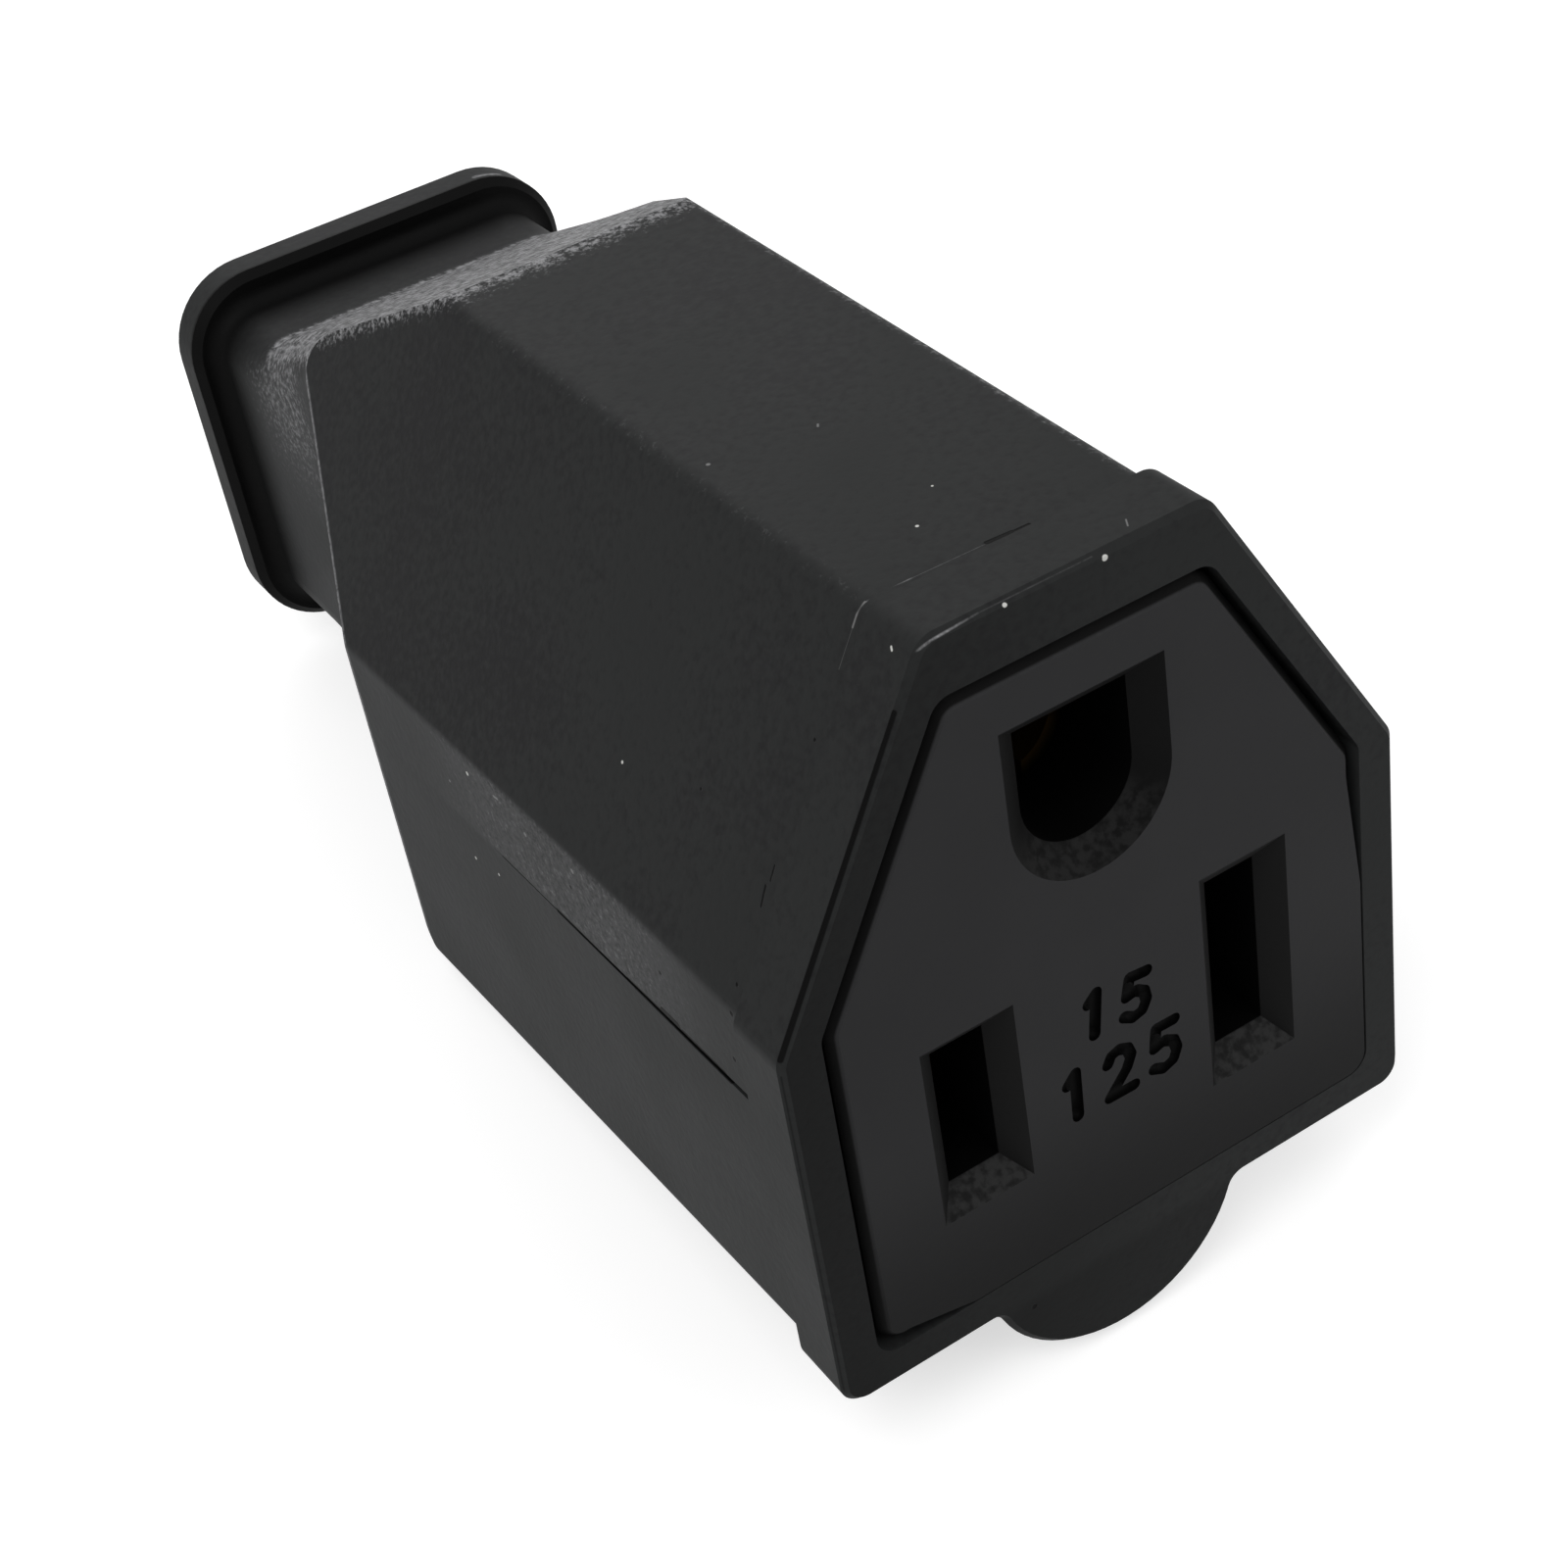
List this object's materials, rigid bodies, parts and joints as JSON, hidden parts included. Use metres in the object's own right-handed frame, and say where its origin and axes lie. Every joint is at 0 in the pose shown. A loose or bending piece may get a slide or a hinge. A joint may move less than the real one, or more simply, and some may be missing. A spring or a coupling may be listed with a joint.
{
  "type": "three-hole cord connector",
  "caption": "House-shaped female cord connector with funnelled blade slots, a ground hole, a finger lug and a flanged neck for the cord.",
  "frame": {"origin": "on the mating face, midway between the two blade slots", "axes": "-Y out of the mating face towards the plug, +Y along the cord, +X to the neutral slot, +Z towards the ground hole"},
  "size_m": [0.0278, 0.061, 0.036],
  "materials": {
    "housing": "fine-textured moulded charcoal thermoplastic, worn grey on the rear ridges",
    "insert": "fine matte moulded dark thermoplastic",
    "clamp_plastic": "moulded black nylon",
    "brass": "stamped brass strip",
    "brass_screw": "bright turned brass",
    "plated_screw": "nickel plate",
    "green_screw": "green passivated steel",
    "plated_steel": "zinc plate"
  },
  "bodies": {
    "root": {"upper_shell": "housing", "lower_shell": "housing", "face_insert": "insert", "contact_carrier": "insert", "hot_contact": "brass", "neutral_contact": "brass", "ground_contact": "brass", "hot_pressure_plate": "plated_steel", "neutral_pressure_plate": "plated_steel", "ground_pressure_plate": "plated_steel", "hot_terminal_screw": "brass_screw", "neutral_terminal_screw": "plated_screw", "ground_terminal_screw": "green_screw", "core_screw": "plated_steel", "closing_screw_left": "plated_steel", "closing_screw_right": "plated_steel", "cord_clamp_bar": "clamp_plastic", "cord_clamp_saddle": "clamp_plastic", "cord_clamp_screw_left": "plated_steel", "cord_clamp_screw_right": "plated_steel", "cord_clamp_nut_left": "plated_steel", "cord_clamp_nut_right": "plated_steel"}
  },
  "joints": []
}
